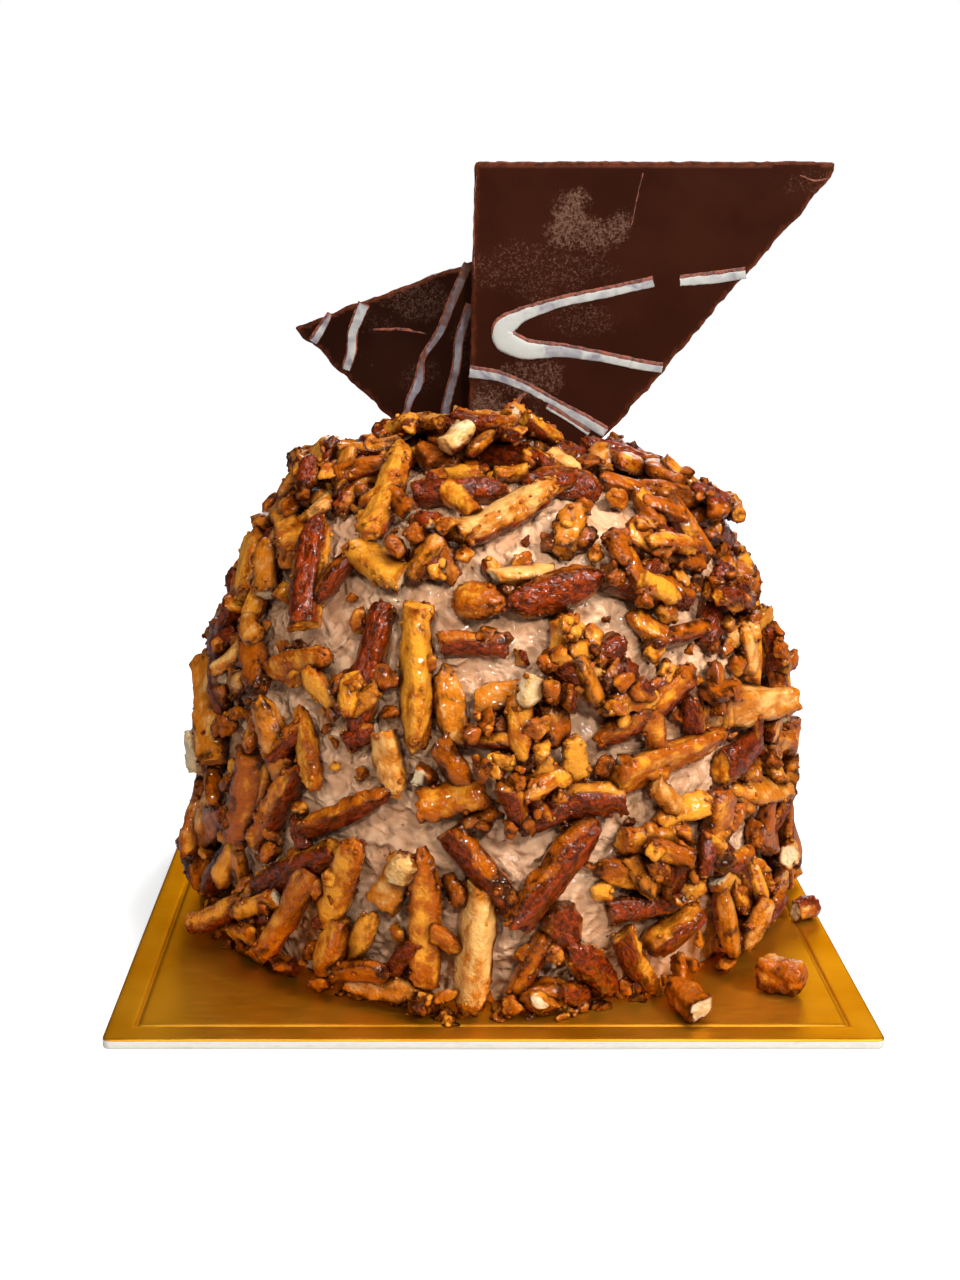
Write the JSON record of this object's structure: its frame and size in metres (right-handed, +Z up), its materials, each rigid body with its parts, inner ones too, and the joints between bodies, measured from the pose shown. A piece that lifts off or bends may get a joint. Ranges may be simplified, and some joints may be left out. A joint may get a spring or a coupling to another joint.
{
  "type": "coffee almond cake",
  "caption": "Domed cream cake covered with caramelised almond slivers, with two dark chocolate plaques in its top, on a square gold board.",
  "frame": {"origin": "middle of the board's underside", "axes": "+Z up, -Y towards the shown side, +X to the right of the shown side"},
  "size_m": [0.14, 0.14, 0.1548],
  "materials": {
    "gold_board": "gold foil on pressed card, satin",
    "caramel_almond": "food: almonds in glossy caramel on coffee cream",
    "coffee_cream": "food: whipped coffee cream, soft sheen",
    "dark_chocolate": "food: dark chocolate with drizzled white lines",
    "loose_almond": "food: almond in glossy caramel"
  },
  "bodies": {
    "root": {"cake_board": "gold_board", "almond_cake": "caramel_almond", "plaque_front": "dark_chocolate", "plaque_back": "dark_chocolate", "almond_chip_right": "loose_almond", "almond_chunk_right": "loose_almond", "almond_sliver_front": "loose_almond"}
  },
  "joints": []
}
